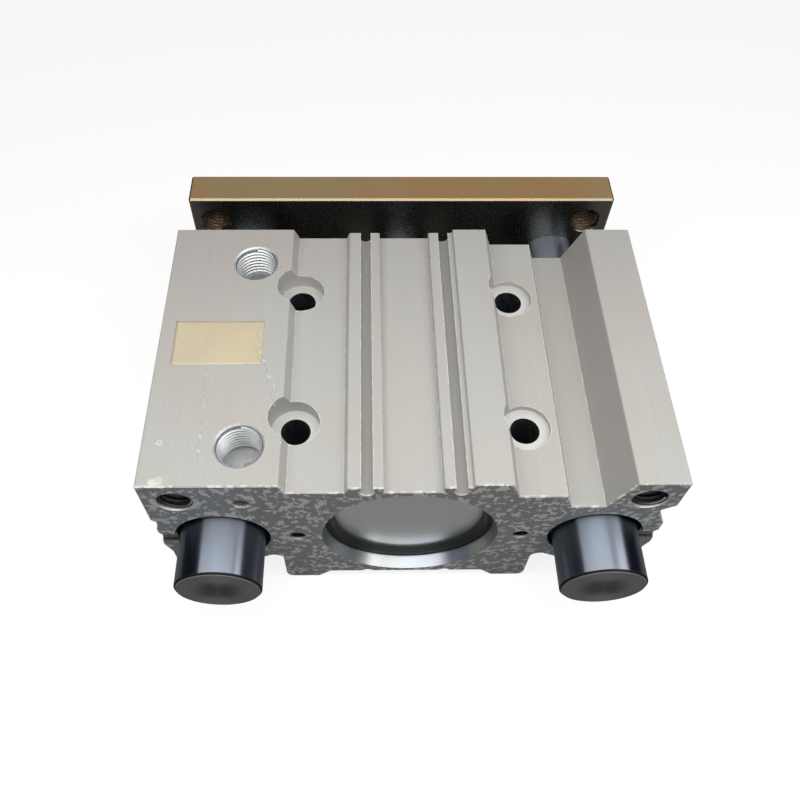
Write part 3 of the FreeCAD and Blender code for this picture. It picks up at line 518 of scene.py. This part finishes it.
# %% [markdown]
# ## Dressing the CAD pieces
# A CAD piece whose shape is right stays as it is and only gets its finish.
# %% Give the CAD pieces their finishes
finish_of = {
    "satin": ("head_cover", "rod_collar", "piston"),
    "phosphate": ("head_retaining_ring", "collar_retaining_ring"),
    "rubber": ("head_gasket", "collar_gasket", "head_bumper", "collar_bumper", "rod_seal", "piston_seal"),
    "bronze": ("rear_bush_left", "rear_bush_right", "front_bush_left", "front_bush_right"),
    "felt": ("felt_left", "felt_right"),
    "holder resin": ("felt_holder_left", "felt_holder_right"),
    "ball steel": ("passage_ball",),
    "magnet": ("piston_magnet",),
    "wear resin": ("piston_wear_ring",),
    "chrome": ("piston_rod", "guide_rod_left", "guide_rod_right"),
    "nickel": ("tooling_plate",),
    "black bolt": ("piston_rod_bolt", "guide_bolt_left", "guide_bolt_right"),
}
for finish, node_names in finish_of.items():
    for node_name in node_names:
        slots = frame["nodes"][node_name].material_slots
        for slot in slots:
            slot.material = finishes[finish]
print(sum(len(names) for names in finish_of.values()), "CAD pieces dressed")


# %% [markdown]
# Every shape that is modelled here starts as a bmesh, Blender's workbench for points, edges and
# faces. One helper turns it into an object with its materials, and another picks out the points
# of what an extrude has just grown, so that they can be moved on.
# %% Turn a bmesh into a piece
def new_piece(work, name, *materials, smooth=False):
    """An object from a bmesh, with its materials; the bmesh is freed."""
    mesh = bpy.data.meshes.new(name)
    work.to_mesh(mesh)
    work.free()
    for material in materials:
        mesh.materials.append(material)
    if smooth:
        for face in mesh.polygons:
            face.use_smooth = True
    piece = bpy.data.objects.new(name, mesh)
    bpy.context.scene.collection.objects.link(piece)
    return piece


def grown_points(grown):
    """The points in an extrude's result."""
    return [part for part in grown["geom"] if isinstance(part, bmesh.types.BMVert)]


print("piece helpers ready")


# %% [markdown]
# The body wears several finishes: matt skin outside, sawn ends in a darker tone that is painted
# shade, bright threads, a near-black tone inside the through holes. Its faces have to be sorted
# for that, so it is the one CAD piece that is copied. The CAD mesh is loose triangles; the copy is
# merged, and the smooth normals that came with it are put back, because merging drops them.
# %% Copy a CAD piece as one joined mesh
def merged_copy(node_name, new_name):
    """A joined copy of a CAD node that keeps its corner normals."""
    source = frame["nodes"][node_name].data
    normals = [Vector(corner.vector) for corner in source.corner_normals]
    work = bmesh.new()
    work.from_mesh(source)
    bmesh.ops.remove_doubles(work, verts=work.verts, dist=1e-7)
    piece = new_piece(work, new_name)
    mesh = piece.data
    if len(mesh.polygons) == len(source.polygons):
        mesh.normals_split_custom_set(normals)
    print(new_name, "has", len(mesh.vertices), "points, from", len(source.vertices))
    return piece


def off_axis(point, centre, axis):
    """How far a point lies from a line through centre along X, Y or Z."""
    away = point - centre
    away["XYZ".index(axis)] = 0
    return away.length


# How far each hole's wall reaches from its axis, and where it starts or ends, with a small margin.
port_reach, port_floor = 7.2 * MM, 51 * MM
through_reach, through_end = 4.5 * MM, 19 * MM
spot_reach, spot_floor, top_rim = 7.05 * MM, 54 * MM, 0.1 * MM
foot_reach, foot_end = 5.6 * MM, 21 * MM
end_reach, end_depth = 5.55 * MM, 23 * MM
dowel_reach, dowel_depth = 2.6 * MM, 9 * MM
bore_reach, guide_reach, guide_inside = 26.6 * MM, 17.1 * MM, 40 * MM
end_chamfer = 1.2 * MM
slope_left, slope_low = 54 * MM, 40 * MM


def body_finish(centre, normal):
    """Picks the finish of one face of the body from where it lies."""
    if any(off_axis(centre, port, "Z") < port_reach and centre.z > port_floor for port in port_centres):
        return "thread"
    for hole in pattern_holes("top_through_holes"):
        reach = off_axis(centre, hole, "Z")
        if reach < through_reach and centre.z > through_end:
            return "near-black hole"
        if reach < spot_reach and spot_floor < centre.z < top_face - top_rim:
            return "spot face"
        if reach < foot_reach and centre.z < foot_end:
            return "thread"
    for hole in pattern_holes("head_end_threads"):
        if off_axis(centre, hole, "Y") < end_reach and centre.y < head_face + end_depth:
            return "end hole"
    for hole in pattern_holes("head_end_dowels"):
        if off_axis(centre, hole, "Y") < dowel_reach and centre.y < head_face + dowel_depth:
            return "end hole"
    if off_axis(centre, bore_axis, "Y") < bore_reach:
        return "honed"
    for side in (-1, 1):
        if off_axis(centre, Vector((guide_x * side, 0, bore_axis.z)), "Y") < guide_reach:
            if abs(normal.y) < 0.9 or abs(centre.y) < guide_inside:
                return "near-black hole"
    # Faces on the sawn ends get the darker tone that paints their shade.
    at_an_end = centre.y < head_face + end_chamfer or centre.y > rod_face - end_chamfer
    if abs(normal.y) > 0.9 and at_an_end:
        return "cut end"
    if normal.x < -0.3 and normal.z > 0.2 and centre.x > slope_left and centre.z > slope_low:
        return "slope"
    return "skin"


body_piece = merged_copy("cylinder_body", "grooved_body")
body_finishes = ["skin", "slope", "cut end", "thread", "end hole", "honed", "spot face", "near-black hole"]
for finish in body_finishes:
    body_piece.data.materials.append(finishes[finish])
for face in body_piece.data.polygons:
    face.material_index = body_finishes.index(body_finish(face.center.copy(), face.normal))
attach(body_piece, "cylinder")
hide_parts("cylinder_body")
for number, finish in enumerate(body_finishes):
    print(finish, sum(face.material_index == number for face in body_piece.data.polygons), "faces")


# %% [markdown]
# ## Screw threads
# A real thread is a helical groove. Seen from outside, what counts is the row of sharp crests,
# so a thin ridge is wound along the wall of the plain CAD hole. The spin operator turns one small
# pointed profile round the axis and moves it along by the pitch as it goes. The faces near the
# wall take a darker root finish, painted shade, so that the dark lines under the crests show.
# %% Wind a thread ridge
def thread_ridge(name, mouth, inward, radius, pitch, height, length, finish, body, slot):
    """A helical ridge inside a hole, from just below its mouth to a given depth."""
    steps_per_turn = 56
    turns = length / pitch
    steps = round(turns * steps_per_turn)
    work = bmesh.new()
    half = pitch * 0.44
    waist = radius - 0.45 * height
    profile = ((radius + 0.05 * MM, -half), (waist, -0.6 * half), (radius - height, 0),
               (waist, 0.6 * half), (radius + 0.05 * MM, half))
    section = work.faces.new([work.verts.new((reach, 0, rise)) for reach, rise in profile])
    parts = [section, *section.edges, *section.verts]
    bmesh.ops.spin(work, geom=parts, cent=(0, 0, 0), axis=(0, 0, 1), angle=2 * math.pi * turns,
                   steps=steps, dvec=(0, 0, length / steps))
    bmesh.ops.remove_doubles(work, verts=work.verts, dist=1e-7)
    open_edges = [edge for edge in work.edges if edge.is_boundary]
    if open_edges:
        bmesh.ops.holes_fill(work, edges=open_edges)
    # Faces out near the wall take the root finish, which paints the shade under the crests.
    for face in work.faces:
        face.material_index = int(face.calc_center_median().xy.length > waist)
    turn = Vector((0, 0, 1)).rotation_difference(Vector(inward)).to_matrix().to_4x4()
    start = Matrix.Translation(Vector(mouth) + Vector(inward) * pitch * 0.6)
    bmesh.ops.transform(work, matrix=start @ turn, verts=work.verts)
    bmesh.ops.recalc_face_normals(work, faces=work.faces)
    piece = new_piece(work, name, finishes[finish], finishes[finish + " root"], smooth=True)
    piece.data.set_sharp_from_angle(angle=math.radians(35))
    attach(piece, body)


pipe_thread = {"radius": 6.58 * MM, "pitch": 1.337 * MM, "height": 0.72 * MM}
bolt_thread = {"radius": 5 * MM, "pitch": 1.5 * MM, "height": 0.8 * MM}
for name, port in zip(("head", "rod"), port_centres):
    thread_ridge("port_thread_" + name, port, (0, 0, -1), **pipe_thread, length=10.2 * MM,
                 finish="thread", body="cylinder", slot="machined_aluminium")
for number, hole in enumerate(pattern_holes("head_end_threads")):
    thread_ridge(f"end_thread_{number}", hole, (0, 1, 0), **bolt_thread, length=19 * MM,
                 finish="end hole", body="cylinder", slot="machined_aluminium")
for number, hole in enumerate(pattern_holes("bottom_threads")):
    thread_ridge(f"foot_thread_{number}", hole, (0, 0, 1), **bolt_thread, length=17 * MM,
                 finish="thread", body="cylinder", slot="machined_aluminium")
for number, hole in enumerate(pattern_holes("plate_threads")):
    thread_ridge(f"plate_thread_{number}", hole, (0, -1, 0), **bolt_thread, length=10.2 * MM,
                 finish="rusty thread", body="carriage", slot="nickel_plated_steel")
print("threads wound")


# %% [markdown]
# ## The label and its film
# On the port side sits a paper label under a strip of clear film. Nothing is printed on this
# one. The paper is a thin sheet: a grid gives it enough points to lift its corners a little,
# and a Solidify modifier gives it its thickness.
# %% Lay the paper label
material, tree, shader = new_finish("label paper", (0.60, 0.52, 0.36), 0.55, 0.0, Coat_Weight=0.35)
where = add_node(tree, "TexCoord").outputs["Object"]
blotch = stepped(tree, noise(tree, where, 90.0, 4), 0.3, 0.75)
fibre = noise(tree, where, 1800.0, 3)
paper = mixed(tree, blotch, (0.62, 0.54, 0.37, 1), (0.57, 0.49, 0.35, 1))
feed(tree, shader, "Base Color", paper)
vary(tree, shader, "Roughness", fibre, 0.42, 0.6)
add_bump(tree, shader, fibre, 0.00001)
finishes["paper"] = material

label_middle = Vector((-56.3, 1.5, 0)) * MM
label_half = Vector((13.2, 8.0, 0)) * MM
work = bmesh.new()
bmesh.ops.create_grid(work, x_segments=28, y_segments=18, size=0.5)
bmesh.ops.scale(work, vec=(2 * label_half.x, 2 * label_half.y, 1), verts=work.verts)
for vert in work.verts:
    corner = max(0, abs(vert.co.x) / label_half.x + abs(vert.co.y) / label_half.y - 1.75)
    wave = math.sin(vert.co.x * 420) * math.sin(vert.co.y * 560 + 1)
    vert.co.z = (0.05 + 0.5 * corner + 0.012 * wave) * MM
    vert.co.x *= 1 + 0.004 * math.sin(vert.co.y * 300)
bmesh.ops.translate(work, vec=(label_middle.x, label_middle.y, top_face), verts=work.verts)
label = new_piece(work, "blank_label", finishes["paper"], smooth=True)
sheet = label.modifiers.new("paper thickness", "SOLIDIFY")
sheet.thickness = 0.08 * MM
sheet.offset = -1
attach(label, "cylinder")
print("label", [round(2 * c / MM, 1) for c in label_half[:2]], "mm")

# %% [markdown]
# The film over the label has creased where it was pulled round the counterbores. A crease is a
# low fold of clear film: a section of four points is extruded from point to point along its path.
# %% Fold the film creases
material, tree, shader = new_finish("clear film", (0.80, 0.80, 0.79), 0.25, 0.0, Alpha=0.6)
where = add_node(tree, "TexCoord").outputs["Object"]
milky = stepped(tree, noise(tree, where, 500.0, 3), 0.35, 0.7)
vary(tree, shader, "Alpha", milky, 0.25, 0.75)
feed(tree, shader, "Base Color", mixed(tree, milky, (0.62, 0.62, 0.60, 1), (0.90, 0.90, 0.89, 1)))
finishes["film"] = material

crease_paths = [
    [(-45.3, 5.0), (-43.9, -0.2), (-42.2, -6.8), (-40.8, -12.1), (-39.6, -16.8), (-38.5, -20.8)],
    [(-43.6, -1.4), (-41.6, -8.0), (-39.5, -13.0), (-38.0, -17.4)],
    [(-46.2, 1.2), (-44.2, -2.6)],
    [(-59.1, -6.6), (-58.6, -14.0), (-58.3, -22.0), (-58.1, -32.0), (-58.1, -40.9)],
]
crease_half_width = 0.22 * MM
crease_section = [(-1, 0.01), (-0.1, 0.16), (0.4, 0.05), (1, 0.01)]
work = bmesh.new()
for path in crease_paths:
    points = [Vector((x, y, 0)) * MM for x, y in path]
    across = (points[-1] - points[0]).normalized().cross(Vector((0, 0, 1))) * crease_half_width
    for start, end in zip(points, points[1:]):
        foot = [work.verts.new(start + side * across + Vector((0, 0, top_face + rise * MM)))
                for side, rise in crease_section]
        edges = [work.edges.new(pair) for pair in zip(foot, foot[1:])]
        grown = bmesh.ops.extrude_edge_only(work, edges=edges)
        bmesh.ops.translate(work, vec=end - start, verts=grown_points(grown))
bmesh.ops.remove_doubles(work, verts=work.verts, dist=1e-6)
bmesh.ops.recalc_face_normals(work, faces=work.faces)
creases = new_piece(work, "film_creases", finishes["film"], smooth=True)
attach(creases, "cylinder")
print("creases:", len(crease_paths))

# %% [markdown]
# At the foot of the head-end port the drilled air passage to the bore breaks through the last
# threads. Only its dark mouth shows, so a thin near-black disc with a rounded rim stands in for it:
# painted shade in place of the opening.
# %% Mark the air passage
work = bmesh.new()
bmesh.ops.create_circle(work, cap_ends=True, segments=28, radius=1.7 * MM)
grown = bmesh.ops.extrude_face_region(work, geom=list(work.faces))
bmesh.ops.translate(work, vec=(0, 0, 0.25 * MM), verts=grown_points(grown))
bmesh.ops.bevel(work, geom=list(work.edges), offset=0.06 * MM, affect="EDGES", segments=2,
                profile=0.5, material=-1)
foot = port_centres[0] + Vector((0.3, 5.0, -13.2)) * MM
bmesh.ops.translate(work, vec=foot, verts=work.verts)
bmesh.ops.recalc_face_normals(work, faces=work.faces)
passage = new_piece(work, "passage_mouth", finishes["near-black hole"])
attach(passage, "cylinder")
print("passage mouth at", [round(c, 4) for c in foot])

# %% [markdown]
# ## The table and the light
# The table is white. Camera, mirror and glass rays see it as plain white, while the light that
# it throws back on the object stays low, so that the end of the body keeps its shade. It still
# darkens where the object shades it.
# %% Build the table
def seen_directly(tree):
    """1 for camera, mirror and glass rays, 0 for the rays that carry light round the room."""
    ray = add_node(tree, "LightPath").outputs
    seen = maths(tree, "MAXIMUM", ray["Is Camera Ray"], ray["Is Glossy Ray"])
    return maths(tree, "MAXIMUM", seen, ray["Is Transmission Ray"])


material = bpy.data.materials.new("white table")
material.use_nodes = True
tree = material.node_tree
tree.nodes.clear()
seen = seen_directly(tree)
cover = add_node(tree, "BsdfDiffuse", Color=mixed(tree, seen, (0.25, 0.25, 0.25, 1), (0.26, 0.26, 0.26, 1)))
glow = add_node(tree, "Emission", Color=(1, 1, 1, 1), Strength=maths(tree, "MULTIPLY", seen, 0.86))
both = add_node(tree, "AddShader", _0=cover.outputs[0], _1=glow.outputs[0])
add_node(tree, "OutputMaterial", Surface=both.outputs[0])
work = bmesh.new()
bmesh.ops.create_circle(work, cap_ends=True, segments=96, radius=1.6)
table = new_piece(work, "table_top", material)
table.location.z = -0.0002
print("table laid")

# %% [markdown]
# A long soft lamp hangs across the object, a little in front of its middle, and does nearly
# all the work. The room behind is white to the camera and gives a weak even fill.
# %% Hang the lamp
world = bpy.data.worlds.new("white room")
bpy.context.scene.world = world
world.use_nodes = True
tree = world.node_tree
tree.nodes.clear()
seen = seen_directly(tree)
strength = maths(tree, "ADD", maths(tree, "MULTIPLY", seen, 0.85), 0.15)
room = add_node(tree, "Background", Color=(1, 1, 1, 1), Strength=strength)
add_node(tree, "OutputWorld", Surface=room.outputs[0])


lamp_data = bpy.data.lights.new("overhead bank", "AREA")
lamp_data.shape = "RECTANGLE"
lamp_data.size, lamp_data.size_y = 0.64, 0.10
lamp_data.energy = 0.92
lamp_data.color = (1.0, 0.99, 0.97)
lamp = bpy.data.objects.new("overhead bank", lamp_data)
lamp.location = (0.06, -0.066, 0.252)
straight_down = Vector((0, 0, -1))
lamp.rotation_euler = straight_down.to_track_quat("-Z", "Y").to_euler()
bpy.context.scene.collection.objects.link(lamp)
print("lamp hung")

# %% [markdown]
# Polished chrome shows only what stands round it, so cards are set up round the
# object: dark ones left and right give each rod its dark flanks, and a narrow bright one above a
# grey one draws the line beside its highlight. A card here is a flat sheet of an even tone that
# only reflections see: it casts no shadow, lights nothing and hides nothing.
# %% Stand the reflection cards
CARD_NEAR = -0.5


def stand_card(name, tone, strength, edge, far=0.9):
    """A sheet that runs along Y to a far end, from a row of (x, z) points across the table."""
    material = bpy.data.materials.new(name)
    material.use_nodes = True
    tree = material.node_tree
    tree.nodes.clear()
    glow = add_node(tree, "Emission", Color=(*tone, 1), Strength=strength)
    add_node(tree, "OutputMaterial", Surface=glow.outputs[0])
    work = bmesh.new()
    line = [work.verts.new((x, CARD_NEAR, z)) for x, z in edge]
    fold = [work.edges.new(pair) for pair in zip(line, line[1:])]
    grown = bmesh.ops.extrude_edge_only(work, edges=fold)
    bmesh.ops.translate(work, vec=(0, far - CARD_NEAR, 0), verts=grown_points(grown))
    card = new_piece(work, name, material)
    card.visible_camera = card.visible_diffuse = False
    card.visible_shadow = card.visible_transmission = False


stand_card("dark_card_left", (0.025, 0.025, 0.040), 1.0,
           [(-0.20, 0.0004), (-0.285, 0.0004), (-0.285, 0.26)])
stand_card("dark_card_right", (0.025, 0.020, 0.035), 1.0,
           [(0.20, 0.0004), (0.38, 0.0004), (0.38, 0.26)])
stand_card("floor_card", (0.21, 0.21, 0.21), 1.0, [(-0.20, 0.0004), (0.20, 0.0004)])
stand_card("grey_card", (0.35, 0.34, 0.35), 1.0, [(0.13, 0.262), (0.200, 0.262)], 0.18)
stand_card("bright_card", (1.0, 0.98, 1.0), 2.1, [(0.200, 0.262), (0.37, 0.262)], 0.18)
print("cards stand")
